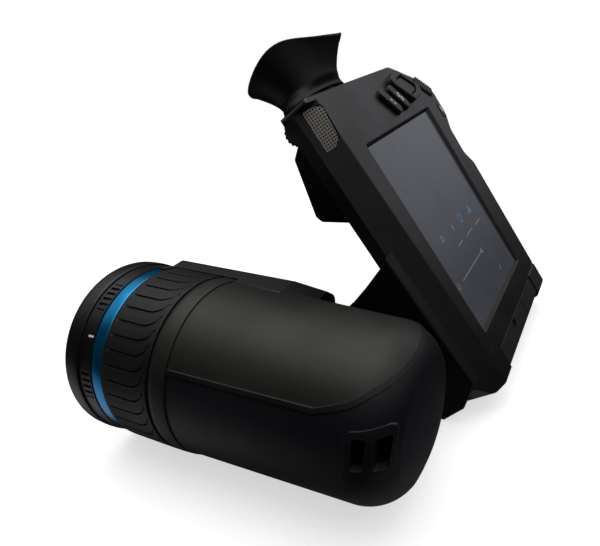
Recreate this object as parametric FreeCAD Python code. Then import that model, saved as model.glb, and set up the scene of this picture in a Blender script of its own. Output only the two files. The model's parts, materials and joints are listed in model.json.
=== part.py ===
import FreeCAD, Part
import math
import os

from FreeCAD import Placement, Rotation, Vector

# Thermal imaging camera: a lens block and a display unit joined by a swivel.
# All sizes are millimetres. The lens block is drawn about its optical axis, which is the Y axis
# (lens facing -Y). The display unit is drawn in slab coordinates: x across, y down the screen
# (from its top edge), z out of the screen glass, and is then laid at its resting tilt.

# Lens block
RING_R = 37.3                 # front ring, the widest turn of the lens
FOCUS_R = 36.9
GROOVES = 40                  # grip grooves round the focus ring
TUBE_R = 33.5                 # lens tube that carries the rings
COLLAR_R = 36.3
BODY_FRONT_R = 36.0           # barrel casing at its front, straight to SHOULDER_Y
BODY_REAR_R = 34.4
BODY_FRONT_Y = 50.0
SHOULDER_Y = 118.0            # where the rear end starts to round over
BODY_END_Y = 138.9
WALL = 2.4
REST_Z = -RING_R              # the table
TRIPOD_Y = 80.0
TRIPOD_HOLE_R = 2.55

# Swivel, axis along X
PIVOT_Y = 106.0
PIVOT_Z = -8.0
PIVOT_R = 14.0
EAR_X = -41.2                 # near face of the hub
TILT = 54.445                 # screen's tilt from the horizontal, degrees
SLAB_ORIGIN = Vector(0.0, 83.7, 72.7)

# Display unit, slab coordinates
NEAR = -48.0
FAR = -165.3
TOP = -26.5
BOTTOM = 118.5
FACE = 1.5
SPLIT = -12.6                 # joint between front and rear shells
BACK = -27.0
PLATE = 5.5                   # thickness of the front plate
GLASS = (-146.2, -69.8, -0.2, 94.3)
HUB = (78.6, -28.8)           # swivel axis in slab coordinates (y, z)
HUB_R = 29.3
EYE_X = -73.0
EYE_Z = -9.2
EYE_R = 9.4
TAPER_END = 53.0              # rear shell's near side is cut away above this level
GRIP_END = 100.0              # open end of the battery grip, down the slab
KNOB = (-19.5, -12.0)         # dioptre knob's axis, slab (y, z)
SOCKETS = ((-92.0, -80.0), (-112.0, -97.0), (-140.0, -126.0))
GAP = 0.1                     # between neighbouring fixed pieces

PLANES = {
    "xy": (lambda u, v, w: Vector(u, v, w), Vector(0, 0, 1)),
    "yz": (lambda u, v, w: Vector(w, u, v), Vector(1, 0, 0)),
    "xz": (lambda u, v, w: Vector(u, w, v), Vector(0, 1, 0)),
}
AXES = {"x": "yz", "y": "xz", "z": "xy"}

pieces = {}


def outline(points, radius, plane, level):
    """Closed wire through flat points, corners rounded by radius or by a point's third value."""
    at = PLANES[plane][0]
    corners = [at(p[0], p[1], level) for p in points]
    radii = [p[2] if len(p) > 2 else radius for p in points]
    arcs = []
    for i, corner in enumerate(corners):
        before = corners[i - 1] - corner
        after = corners[(i + 1) % len(corners)] - corner
        half = before.getAngle(after) / 2
        reach = min(radii[i] / math.tan(half), 0.48 * before.Length, 0.48 * after.Length)
        size = reach * math.tan(half)
        before.normalize()
        after.normalize()
        middle = before + after
        middle.normalize()
        arcs.append((corner + before * reach, corner + middle * (size / math.sin(half) - size),
                     corner + after * reach, size > 0.01))
    edges = []
    for i, (start, middle, end, is_round) in enumerate(arcs):
        if is_round:
            edges.append(Part.Arc(start, middle, end).toShape())
        following = arcs[(i + 1) % len(arcs)][0]
        if end.distanceToPoint(following) > 1e-4:
            edges.append(Part.LineSegment(end, following).toShape())
    return Part.Wire(edges)


def prism(points, plane, low, high, radius=0.0):
    face = Part.Face(outline(points, radius, plane, low))
    return face.extrude(PLANES[plane][1] * (high - low))


def box(x0, x1, y0, y1, z0, z1):
    low = Vector(min(x0, x1), min(y0, y1), min(z0, z1))
    return Part.makeBox(abs(x1 - x0), abs(y1 - y0), abs(z1 - z0), low)


def cylinder(radius, axis, low, high, at=(0.0, 0.0)):
    place, direction = PLANES[AXES[axis]]
    return Part.makeCylinder(radius, high - low, place(at[0], at[1], low), direction)


def ring(inner, outer, axis, low, high, at=(0.0, 0.0)):
    return cylinder(outer, axis, low, high, at).cut(cylinder(inner, axis, low - 1, high + 1, at))


def turned(profile, angle=360.0):
    """Solid of revolution about the Y axis from (radius, y) points."""
    corners = [Vector(r, y, 0) for r, y in profile]
    face = Part.Face(Part.makePolygon(corners + corners[:1]))
    return face.revolve(Vector(0, 0, 0), Vector(0, 1, 0), angle)


def eased(shape, radius, axis, level):
    """Rounds the edges that lie in the plane axis = level."""
    edges = [edge for edge in shape.Edges
             if all(abs(getattr(v.Point, axis) - level) < 0.03 for v in edge.Vertexes)]
    return shape.makeFillet(radius, edges)


def bar(centre, length, width, angle, low, high, radius=None):
    """Rounded bar lying in the slab, long axis turned by angle degrees from +x."""
    half, side = length / 2, width / 2
    corners = [(-half, -side), (half, -side), (half, side), (-half, side)]
    shape = prism(corners, "xy", low, high, side * 0.98 if radius is None else radius)
    shape.rotate(Vector(0, 0, 0), Vector(0, 0, 1), angle)
    shape.translate(Vector(centre[0], centre[1], 0))
    return shape


def in_block(name, shape):
    pieces[name] = shape


def in_display(name, shape):
    shape = shape.copy()
    shape.Placement = Placement(SLAB_ORIGIN, Rotation(Vector(1, 0, 0), -TILT)).multiply(shape.Placement)
    pieces[name] = shape


# ---------------------------------------------------------------- lens block

def cap(edge, edge_y, apex_y):
    """Spherical arc about the Y axis, from its edge (radius, y) to its apex on the axis."""
    rise = apex_y - edge_y
    radius = (edge ** 2 + rise ** 2) / (2 * abs(rise))
    half = math.asin(edge / radius) / 2
    sag = math.copysign(radius * (1 - math.cos(half)), rise)
    middle = Vector(radius * math.sin(half), apex_y - sag, 0)
    return Part.Arc(Vector(edge, edge_y, 0), middle, Vector(0, apex_y, 0)).toShape()


def barrel(inset):
    """Barrel casing's outer shape, moved inwards by inset."""
    front = Vector(BODY_FRONT_R - inset, BODY_FRONT_Y, 0)
    shoulder = Vector(BODY_REAR_R - inset, SHOULDER_Y, 0)
    corner = Vector(31.9 - 0.95 * inset, 127.8 - 0.35 * inset, 0)
    rim = Vector(24.6 - 0.65 * inset, 134.9 - 0.75 * inset, 0)
    end = Vector(0, BODY_END_Y - inset, 0)
    start = Vector(0, BODY_FRONT_Y, 0)
    edges = [
        Part.LineSegment(start, front).toShape(),
        Part.LineSegment(front, shoulder).toShape(),
        Part.Arc(shoulder, corner, rim).toShape(),
        cap(rim.x, rim.y, end.y),
        Part.LineSegment(end, start).toShape(),
    ]
    return Part.Face(Part.Wire(edges)).revolve(Vector(0, 0, 0), Vector(0, 1, 0), 360)


def lens_parts():
    in_block("lens_housing", turned([
        (28.1, 4.6), (TUBE_R, 4.6), (TUBE_R, 42.2), (35.2, 42.2), (35.2, 49.9), (30.0, 49.9),
        (30.0, 40.0), (28.1, 40.0), (28.1, 12.8), (25.0, 12.8), (25.0, 11.2), (28.1, 11.2)]))
    in_block("front_ring", turned([
        (29.0, 4.5), (33.6, 0.0), (36.2, 0.0), (37.1, 1.0), (RING_R, 2.6), (RING_R, 7.6),
        (37.0, 8.0), (TUBE_R + 0.05, 8.0), (TUBE_R + 0.05, 4.5)]))
    edge, front_edge, rear_edge, front_apex, rear_apex = 28.0, 7.2, 11.0, 4.2, 9.5
    edges = [cap(edge, front_edge, front_apex), cap(edge, rear_edge, rear_apex)]
    for start, end in (((edge, front_edge), (edge, rear_edge)), ((0, front_apex), (0, rear_apex))):
        edges.append(Part.LineSegment(Vector(*start, 0), Vector(*end, 0)).toShape())
    section = Part.Wire(Part.__sortEdges__(edges))
    in_block("front_element", Part.Face(section).revolve(Vector(0, 0, 0), Vector(0, 1, 0), 360))
    in_block("element_retainer", ring(26.6, 28.0, "y", 4.8, 6.8))
    in_block("rear_element", cylinder(24.0, "y", 30.0, 34.5).fuse(ring(23.0, 28.0, "y", 31.0, 33.5)))
    in_block("index_band", ring(TUBE_R + 0.05, 36.6, "y", 8.1, 13.0))
    in_block("blue_ring", ring(TUBE_R + 0.05, 36.3, "y", 13.1, 19.7))
    focus = ring(TUBE_R + 0.08, FOCUS_R, "y", 20.0, 42.0)
    for i in range(GROOVES):
        groove = box(-0.4, 0.4, 23.0, 39.5, FOCUS_R - 0.7, FOCUS_R + 1)
        groove.rotate(Vector(0, 0, 0), Vector(0, 1, 0), 360.0 / GROOVES * i)
        focus = focus.cut(groove)
    in_block("focus_ring", focus)
    in_block("bayonet_collar", turned([
        (35.3, 42.3), (35.9, 42.3), (35.9, 43.6), (COLLAR_R + 0.5, 44.2), (COLLAR_R + 0.5, 45.6),
        (COLLAR_R, 46.4), (COLLAR_R, 49.8), (35.3, 49.8)]))


def saddle():
    """Everything above the saddle cover's seam, seen from the side."""
    seam = [(BODY_FRONT_Y - 1, 20.0), (108.0, 20.0, 8), (118.5, 23.3), (124.8, 26.6), (131.5, 29.0),
            (139.0, 34.0), (139.0, 50.0), (BODY_FRONT_Y - 1, 50.0)]
    return prism(seam, "yz", -60, 60)


def strap_outline(grow):
    return [(118.6 - grow, 17.0 + grow), (133.6 + grow, 18.8 + grow), (134.6 + grow, 0.6 - grow),
            (120.0 - grow, 1.0 - grow)]


def block_casing():
    shell = barrel(0).cut(barrel(WALL).fuse(cylinder(BODY_FRONT_R - WALL, "y", 48, 51)))
    above = saddle()
    seam_band = prism([(BODY_FRONT_Y, 19.4), (108.0, 19.4, 8), (118.7, 22.7), (125.1, 26.0),
                       (132.0, 28.5), (139.0, 33.2), (139.0, 34.6), (131.2, 29.8), (124.5, 27.4),
                       (118.1, 24.1), (107.6, 20.8, 8), (BODY_FRONT_Y, 20.8)], "yz", -60, 60)
    trim = barrel(-0.45).cut(barrel(1.4)).common(seam_band)
    in_block("cover_seam_trim", trim)
    in_block("upper_cover", shell.common(above).cut(seam_band))
    pocket = prism(strap_outline(0.1), "yz", 20.0, 45.0, 3.0)
    boss = box(-8, 8, 62, 98, REST_Z, -30).fuse(cylinder(7.5, "z", REST_Z, -25.0, (0, TRIPOD_Y)))
    boss = boss.cut(barrel(WALL)).fuse(cylinder(7.5, "z", REST_Z, -25.0, (0, TRIPOD_Y)))
    lower = shell.cut(above).cut(seam_band).cut(pocket).fuse(boss)
    lower = lower.cut(cylinder(5.0, "z", REST_Z - 1, -27.0, (0, TRIPOD_Y)))
    in_block("lower_shell", lower)
    insert = cylinder(4.95, "z", REST_Z + 0.1, -27.1, (0, TRIPOD_Y))
    in_block("tripod_insert", insert.cut(cylinder(TRIPOD_HOLE_R, "z", REST_Z - 1, -28.6, (0, TRIPOD_Y))))


def strap_anchor():
    body = prism(strap_outline(0), "yz", 21.0, 45.0, 3.0).common(barrel(-0.4))
    hollow = prism(strap_outline(-1.6), "yz", 22.6, 45.0, 2.0).common(barrel(2.6))
    for low, high in ((121.6, 126.0), (128.4, 132.8)):
        slot = prism([(low, 4.6), (high, 4.6), (high, 15.4), (low, 15.4)], "yz", 22.6, 45, 1.0)
        hollow = hollow.fuse(slot)
    in_block("strap_anchor", body.cut(hollow))


def side_housing():
    """Cheek on the swivel side: its front end carries the camera, lamp and laser windows."""
    section = [(-10, 32), (-13, 33.5), (-22.5, 33.5, 3), (-40.4, 19, 5), (-40.4, -28, 4),
               (-36, -34, 3), (-20, -34), (-6, 0)]
    body = eased(prism(section, "xz", 16.0, 80.0, 0.5), 0.45, "y", 16.0)
    body = body.cut(cylinder(37.2, "y", 10, 50.05)).cut(barrel(-0.05))
    ramp = prism([(66.0, 40.0), (81.0, 23.0), (92.0, 60.0), (66.0, 60.0)], "yz", -60, 0)
    body = body.cut(pieces["cover_seam_trim"])
    body = body.cut(ramp).cut(cylinder(21.0, "x", -60, 0, (PIVOT_Y, PIVOT_Z)))
    body = max(body.Solids, key=lambda solid: solid.Volume)
    windows = {"visible_camera_lens": ((-35.2, -25.2), 3.2), "lamp_lens": ((-37.0, 16.6), 2.2),
               "laser_window": ((-38.7, -17.2), 1.3)}
    for name, (at, radius) in windows.items():
        body = body.cut(cylinder(radius + GAP, "y", 14.0, 19.6, at))
        in_block(name, cylinder(radius, "y", 16.4, 19.5, at))
    heads = []
    for at in ((24.0, -26.0), (72.0, -27.0), (24.0, 13.0), (62.0, 14.0)):
        screw = cylinder(2.3, "x", -40.3, -39.2, at).fuse(cylinder(1.2, "x", -39.3, -36.6, at))
        screw = screw.cut(cylinder(1.1, "x", -41, -39.6, at))
        body = body.cut(cylinder(2.4, "x", -41, -39.15, at)).cut(cylinder(1.25, "x", -40, -36.5, at))
        heads.append(screw)
    in_block("side_housing", body)
    in_block("block_screws", Part.makeCompound(heads))


def block_inside():
    in_block("detector_core", box(-17, 17, 58, 84, -17, 17).fuse(cylinder(11, "y", 50, 58)))
    in_block("shutter_plate", box(-14, 14, 47.0, 48.4, -14, 14))
    in_block("detector_board", box(-22, 22, 90, 91.6, -20, 20))


def swivel_fixed_side():
    at = (PIVOT_Y, PIVOT_Z)
    flange = cylinder(20.0, "x", -40.6, -30.0, at).cut(barrel(-0.05))
    flange = max(flange.Solids, key=lambda solid: solid.Volume)
    flange = flange.cut(cylinder(PIVOT_R + 0.05, "x", -50, 0, at))
    in_block("pivot_flange", flange)
    tube = ring(10.0, PIVOT_R, "x", -62.6, -35.0, at).cut(barrel(-0.05))
    in_block("pivot_tube", max(tube.Solids, key=lambda solid: solid.Volume))
    in_block("swivel_washer", ring(PIVOT_R + 0.05, 19.5, "x", -41.1, -40.65, at))
    in_block("pivot_nut", ring(PIVOT_R + 0.05, 17.2, "x", -62.5, -57.4, at))


# --------------------------------------------------------------- display unit

def slab_points():
    return [(NEAR, -25.0, 1.5), (NEAR - 1.5, TOP, 1.5), (-130.0, TOP, 9), (-156.6, -14.7, 7),
            (-165.0, -6.7, 6), (FAR, 7.0, 6), (-160.0, 15.0, 6), (-160.0, 29.0, 6), (FAR, 37.0, 6),
            (FAR, 112.0, 5), (-159.0, BOTTOM, 4), (-54.0, BOTTOM, 4), (NEAR, 110.0, 4)]


def slab(inset, low, high):
    face = Part.Face(outline(slab_points(), 0, "xy", low))
    if inset:
        face = face.makeOffset2D(-inset)
    return face.extrude(Vector(0, 0, high - low))


def near_bevel(depth):
    """Wedge that bevels the near edge of the face; depth moves it into the slab."""
    wires = []
    for level in (-40.0, 130.0):
        fold = -56.2 - 0.047 * (level + 7.6)
        slope = Vector(NEAR - fold, 0, -6.5 - FACE).normalize()
        inward = Vector(slope.z, 0, -slope.x)
        low = Vector(NEAR, level, -6.5) + slope * 6 + inward * depth
        high = Vector(fold, level, FACE) - slope * 9 + inward * depth
        wires.append(Part.makePolygon([low, high, Vector(low.x + 20, level, high.z + 8), low]))
    return Part.makeLoft(wires, True, True)


def key_cuts():
    """Keys of the front plate: name, shape and the slot that it slides in."""
    pad = [(-113.5, -20.6), (-129.0, -22.6), (-148.3, -9.0), (-131.6, -6.6)]
    middle = (sum(p[0] for p in pad) / 4, sum(p[1] for p in pad) / 4)

    def scaled(factor):
        return [(middle[0] + (x - middle[0]) * factor, middle[1] + (y - middle[1]) * factor)
                for x, y in pad]

    low = SPLIT + 4.6
    pad_key = prism(pad, "xy", low, 4.6, 3.0).cut(prism(scaled(0.66), "xy", -20, 9, 2.0))
    keys = {
        "navigation_ring": (eased(pad_key, 0.5, "z", 4.6), prism(scaled(1.04), "xy", -20, 9, 3.3)),
        "navigation_key": (eased(prism(scaled(0.6), "xy", low, 3.8, 1.6), 0.5, "z", 3.8), None),
    }
    for name, centre in (("key_upper", (-118.3, -11.6)), ("key_lower", (-108.2, -11.4))):
        key = eased(bar(centre, 15.5, 4.6, 130.0, low, 3.6), 0.6, "z", 3.6)
        keys[name] = (key, bar(centre, 16.2, 5.3, 130.0, -20, 9))
    centre = (-161.0, 3.6)
    key = eased(bar(centre, 9.0, 3.4, 96.0, low, 1.9), 0.5, "z", 1.9)
    keys["power_key"] = (key, bar(centre, 9.6, 4.0, 96.0, -20, 9))
    return keys


def rocker_shapes():
    centre = (-154.6, -11.0)
    rocker = bar(centre, 15.0, 4.6, 143.0, -3.2, 2.5, 1.0)
    for i in range(7):
        rocker = rocker.cut(bar((centre[0] + (i - 3) * 1.6, centre[1] - (i - 3) * 1.2), 6.0, 0.8,
                                53.0, 1.9, 4.0, 0.0))
    return rocker, bar(centre, 15.9, 5.4, 143.0, -20, 9, 1.2)


def shells():
    bevel = near_bevel(0)
    corner = eased(slab(0, SPLIT, FACE), 1.0, "z", FACE).common(box(-58, -40, -40, -24.3, -9, 4))
    solid = eased(slab(0, SPLIT, FACE).cut(bevel), 1.0, "z", FACE).fuse(corner)
    hollow = slab(WALL, SPLIT - 1, FACE - PLATE).cut(near_bevel(WALL))
    hollow = hollow.cut(box(-200, 0, 104.0, 140, -40, 10))
    front = solid.cut(hollow)
    x0, x1, y0, y1 = GLASS
    front = front.cut(box(x0, x1, y0, y1, -1.9, 3)).cut(box(x0 + 3.2, x1 - 3.2, y0 + 3.2, y1 - 3.2, -20, 3))
    rims = []
    for level, grow in ((0.0, 0.0), (FACE + 0.1, 1.3)):
        corners = [(x0 - grow, y0 - grow), (x1 + grow, y0 - grow), (x1 + grow, y1 + grow),
                   (x0 - grow, y1 + grow)]
        rims.append(outline(corners, 0.6 + grow, "xy", level))
    front = front.cut(Part.makeLoft(rims, True, True))
    front = front.cut(box(-180, -72.8, 106.7, 140, -40, 10)).cut(box(-180, -147.1, 105.2, 140, -40, 10))
    for x_low, x_high in SOCKETS:
        front = front.cut(box(x_low - GAP, x_high + GAP, 99, 108, -10.1, -3.9))

    grille_zone = prism([(-50.3, -23.5), (-54.4, -22.9), (-56.7, -21.4), (-55.6, -8.3), (-53.0, -6.2),
                         (-50.3, -6.7)], "xy", -9.5, 4, 0.8)
    skin = slab(0, -9.4, FACE).cut(slab(1.3, -12, FACE)).fuse(near_bevel(1.3).common(solid))
    grille = skin.common(grille_zone).common(solid)
    in_display("speaker_grille", max(grille.Solids, key=lambda part: part.Volume))
    front = front.cut(grille)
    for shape, slot in key_cuts().values():
        if slot:
            front = front.cut(slot)
    front = front.cut(rocker_shapes()[1])

    rear = eased(slab(0, BACK, SPLIT - 0.3), 2.0, "z", BACK).cut(slab(WALL, BACK + WALL, SPLIT))
    taper = prism([(NEAR + 2, -11.0), (-56.0, -18.0, 5), (-70.0, BACK - 0.2), (NEAR + 2, BACK - 1)],
                  "xz", -40, TAPER_END)
    floor_skin = prism([(NEAR, SPLIT - 0.3), (-56.0, -18.0, 5), (-70.0, BACK), (-73.5, BACK),
                        (-73.5, BACK + WALL), (-70.8, BACK + WALL), (-57.0, -15.4, 5),
                        (-51.8, SPLIT - 0.3)], "xz", TOP + 1.0, TAPER_END)
    end_skin = slab(0, BACK, SPLIT - 0.3).common(box(-73.5, NEAR, TAPER_END - WALL, TAPER_END, BACK, SPLIT - 0.3))
    rear = rear.fuse(floor_skin.common(slab(0, BACK, SPLIT - 0.3))).fuse(end_skin).cut(taper)

    eyepiece = cylinder(EYE_R + GAP, "y", -32, -19.9, (EYE_X, EYE_Z))
    boss = cylinder(19.7, "x", -65.1, NEAR + 1, HUB)
    for cutter in (eyepiece, knob_pocket(), boss):
        front = front.cut(cutter)
        rear = rear.cut(cutter)
    rear = rear.cut(viewfinder_hump())
    rear = rear.cut(prism([(125.0, -5.2), (125.0, -50.0), (108.0, -33.8)], "yz", -170, -40))
    rear = rear.fuse(rear_foot())
    screws = []
    for at in ((-100.0, -20.0), (-157.5, -8.0), (-99.8, 103.5), (-161.4, 103.0)):
        rear = rear.cut(cylinder(2.9, "z", BACK - 1, BACK + 1.5, at)).cut(cylinder(1.5, "z", -28, -20, at))
        screw = cylinder(2.8, "z", BACK + 0.1, BACK + 1.45, at).fuse(cylinder(1.4, "z", -26, -19, at))
        screws.append(screw.cut(cylinder(1.2, "z", BACK - 1, BACK + 0.9, at)))
    in_display("front_shell", max(front.Solids, key=lambda part: part.Volume))
    in_display("rear_shell", max(rear.Solids, key=lambda part: part.Volume))
    in_display("case_screws", Part.makeCompound(screws))
    gasket = slab(0.7, SPLIT - 0.25, SPLIT - 0.05).cut(slab(2.2, SPLIT - 1, SPLIT + 1))
    for cutter in (eyepiece, knob_pocket(), boss, taper):
        gasket = gasket.cut(cutter)
    gasket = gasket.cut(box(-180, -72.8, 103.0, 140, -40, 10))
    in_display("shell_gasket", max(gasket.Solids, key=lambda part: part.Volume))


def rear_foot():
    """Sloping wall that closes the rear shell where its bottom edge clears the table."""
    wall = prism([(BOTTOM - 0.1, -12.9), (111.7, BACK), (108.7, BACK), (115.4, -12.9)], "yz", -170, -40)
    return wall.common(slab(0, BACK, SPLIT - 0.3))


def screen():
    x0, x1, y0, y1 = GLASS
    edge = 0.05
    in_display("screen_glass", box(x0 + edge, x1 - edge, y0 + edge, y1 - edge, -1.4, 0))
    frame = box(x0 + 0.2, x1 - 0.2, y0 + 0.2, y1 - 0.2, -1.88, -1.42)
    in_display("screen_gasket", frame.cut(box(x0 + 3.2, x1 - 3.2, y0 + 3.2, y1 - 3.2, -3, 0)))
    in_display("lcd_panel", box(x0 + 3.4, x1 - 3.4, y0 + 3.4, y1 - 3.4, -6.0, -1.45))
    in_display("main_board", box(-148, -75, 2, 96, -15.0, -13.4))


def keys_and_rocker():
    for name, (shape, slot) in key_cuts().items():
        in_display(name, shape)
    in_display("zoom_rocker", rocker_shapes()[0])


def ports():
    blocks = []
    for low, high in SOCKETS:
        block = box(low, high, 100.5, 106.4, -10.0, -4.0)
        blocks.append(block.cut(box(low + 1.2, high - 1.2, 102.0, 107.0, -8.6, -5.4)))
    in_display("port_sockets", Part.makeCompound(blocks))
    section = [(106.9, -11.9, 0.4), (BOTTOM, -11.9, 0.8), (BOTTOM, FACE, 3.0), (106.9, FACE, 0.4)]
    long_cover = eased(prism(section, "yz", -120.9, -73.0), 0.35, "x", -120.9)
    notch = prism([(-103, 107.6), (-90, 107.6), (-91.5, 111.6), (-101.5, 111.6)], "xy", 0.4, 4, 1.5)
    in_display("port_cover_long", long_cover.cut(notch))
    in_display("port_cover_short", eased(prism(section, "yz", -146.9, -121.5), 0.35, "x", -121.5))
    bumper = prism([(105.4, SPLIT + 0.2, 0.5), (119.7, SPLIT + 0.2, 2.0), (119.7, 2.1, 3.0),
                    (105.4, 2.1, 1.2)], "yz", -164.6, -147.3)
    in_display("corner_bumper", eased(bumper, 0.9, "x", -164.6))


def speaker():
    in_display("speaker_driver", box(-66, -58, -9.0, 1.0, -12.0, -5.0))


def viewfinder_hump():
    profile = [(-17.0, -17.0), (-13.0, -23.5, 2), (10.7, -31.0, 2), (14.0, -29.8, 2), (21.0, -17.6)]
    return eased(prism(profile, "yz", -96.0, -56.0), 1.2, "x", -56.0)


def viewfinder():
    inner = prism([(-13.0, -18.6), (-11.2, -22.2), (10.3, -28.8), (12.8, -27.6), (17.6, -18.6)],
                  "yz", -94.0, -58.0, 0.5)
    hump = viewfinder_hump().cut(inner).cut(cylinder(EYE_R + GAP, "y", -32, -19.9, (EYE_X, EYE_Z)))
    hump = hump.cut(knob_pocket())
    in_display("viewfinder_housing", hump)
    in_display("eyepiece_barrel", ring(7.5, EYE_R, "y", -33.0, -20.0, (EYE_X, EYE_Z)))
    in_display("eyepiece_lens", cylinder(7.4, "y", -31.4, -28.4, (EYE_X, EYE_Z)))
    in_display("viewfinder_display", box(-83, -67, -5, -2.4, -12.6, -6.5))


def oval(width, depth, level, offset=0.0):
    """Oval wire near the eyepiece axis, at a level along the slab."""
    centre = Vector(EYE_X, level, EYE_Z + offset)
    return Part.Wire(Part.Ellipse(centre + Vector(width, 0, 0), centre + Vector(0, 0, depth), centre).toShape())


def eyecup():
    outer = [oval(21.5, 12.2, -27.0), oval(16.6, 11.2, -31.5), oval(22.0, 17.5, -44.3, -1.0)]
    inner = [oval(14.4, 9.8, -33.5), oval(20.2, 15.7, -44.5, -1.0)]
    cup = Part.makeLoft(outer, True, True).cut(Part.makeLoft(inner, True, True))
    in_display("eyecup", cup.cut(cylinder(EYE_R + 0.08, "y", -34.0, -26.0, (EYE_X, EYE_Z))))


def knob_pocket():
    return cylinder(5.3, "x", -57.3, -40, KNOB)


def dioptre_knob():
    knob = cylinder(4.9, "x", -57.0, -50.6, KNOB)
    for i in range(16):
        turn = math.radians(22.5 * i)
        at = (KNOB[0] + 5.2 * math.cos(turn), KNOB[1] + 5.2 * math.sin(turn))
        knob = knob.cut(cylinder(0.7, "x", -58, -47, at))
    in_display("dioptre_knob", knob)


def hub_path():
    """Ear outline in slab (y, z): front edge, round about the swivel, flat rest and rear corner."""
    rest_front = (102.5, -45.8)
    points = [(38.5, -3.4), (41.0, -8.0), (45.5, -20.0), (49.6, -33.0)]
    after = [(116.9, -25.5), (114.0, -13.0), (104.0, -1.6)]

    def at(p):
        return Vector(EAR_X, p[0], p[1])

    edges = [Part.LineSegment(at(a), at(b)).toShape() for a, b in zip(points, points[1:])]
    bottom = (HUB[0] + HUB_R * math.cos(math.radians(-105)), HUB[1] + HUB_R * math.sin(math.radians(-105)))
    edges.append(Part.Arc(at(points[-1]), at(bottom), at(rest_front)).toShape())
    tail = [rest_front] + after + [points[0]]
    edges += [Part.LineSegment(at(a), at(b)).toShape() for a, b in zip(tail, tail[1:])]
    return Part.Wire(edges)


def hub():
    full = Part.Face(hub_path()).extrude(Vector(-56.0, 0, 0))
    ear_end = NEAR + GAP
    ear = eased(full.common(box(ear_end, 0, 0, 140, -80, 10)), 1.2, "x", EAR_X)
    drum = eased(full.common(box(-97, ear_end, 58, 140, -80, BACK - 0.1)), 2.0, "x", -97.0)
    boss = cylinder(19.6, "x", -65, EAR_X - 1, HUB)
    cavity = cylinder(26.5, "x", -95, -67, HUB).common(box(-95, -67, 62, 106, -60, -29.6))
    body = ear.fuse(boss).fuse(drum).cut(cavity)
    body = body.cut(cylinder(16.6, "x", -57, 0, HUB)).cut(cylinder(18.0, "x", -63, -57, HUB))
    in_display("hub_housing", body)
    in_display("hub_bush", ring(PIVOT_R + 0.06, 16.55, "x", -56.9, EAR_X - 0.1, HUB))


def grip():
    section = [(-160.0, BACK - 0.1), (-160.0, -48.0, 9), (-103.0, -48.0, 9), (-103.0, BACK - 0.1)]
    body = eased(prism(section, "xz", 6.0, GRIP_END), 3.0, "y", 6.0)
    body = body.cut(prism([(-156.5, -45.2), (-106.5, -45.2), (-106.5, -29.8), (-156.5, -29.8)],
                          "xz", 28.0, 110.0, 3.0))
    body = body.cut(box(-139.3, -122.7, 11.7, 24.3, -60, -35.5)).cut(cylinder(3.9, "z", -60, -42, (-112.0, 18)))
    body = body.cut(box(-137.3, -124.7, 88.7, 98.3, -60, -46.1))
    in_display("grip_housing", body)
    in_display("trigger", prism([(12.0, -50.6, 1), (24.0, -51.6, 2), (24.0, -38.4), (12.0, -38.4)],
                                "yz", -139.0, -123.0))
    in_display("laser_key", cylinder(3.6, "z", -49.4, -44.0, (-112.0, 18)))
    in_display("battery", prism([(-156.2, -44.9), (-106.8, -44.9), (-106.8, -30.1), (-156.2, -30.1)],
                                "xz", 28.4, GRIP_END - 0.2, 2.7))
    latch = box(-137.0, -125.0, 89.0, 95.0, -48.7, -46.3)
    in_display("battery_latch", latch.cut(box(-136, -126, 91.5, 92.5, -50, -48.2)))


def build():
    lens_parts()
    block_casing()
    strap_anchor()
    side_housing()
    block_inside()
    swivel_fixed_side()
    shells()
    screen()
    keys_and_rocker()
    ports()
    speaker()
    viewfinder()
    eyecup()
    dioptre_knob()
    hub()
    grip()
    whole = Part.makeCompound(list(pieces.values())).optimalBoundingBox(False, False)
    shift = Vector(-(whole.XMin + whole.XMax) / 2, -(whole.YMin + whole.YMax) / 2, -whole.ZMin)
    print("origin moved by", [round(v, 4) for v in shift], "size", round(whole.XLength, 2),
          round(whole.YLength, 2), round(whole.ZLength, 2))
    os.makedirs("parts", exist_ok=True)
    for name, shape in pieces.items():
        placed = shape.copy()
        placed.translate(shift)
        if not placed.isValid():
            print("not valid:", name)
        placed.exportStep(f"parts/{name}.step")
        print(name, len(placed.Solids), round(placed.Volume))


build()
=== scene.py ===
"""Looks of the thermal imaging camera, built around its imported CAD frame."""
import json
import math

import bmesh
import bpy
from mathutils import Matrix, Vector


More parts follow.
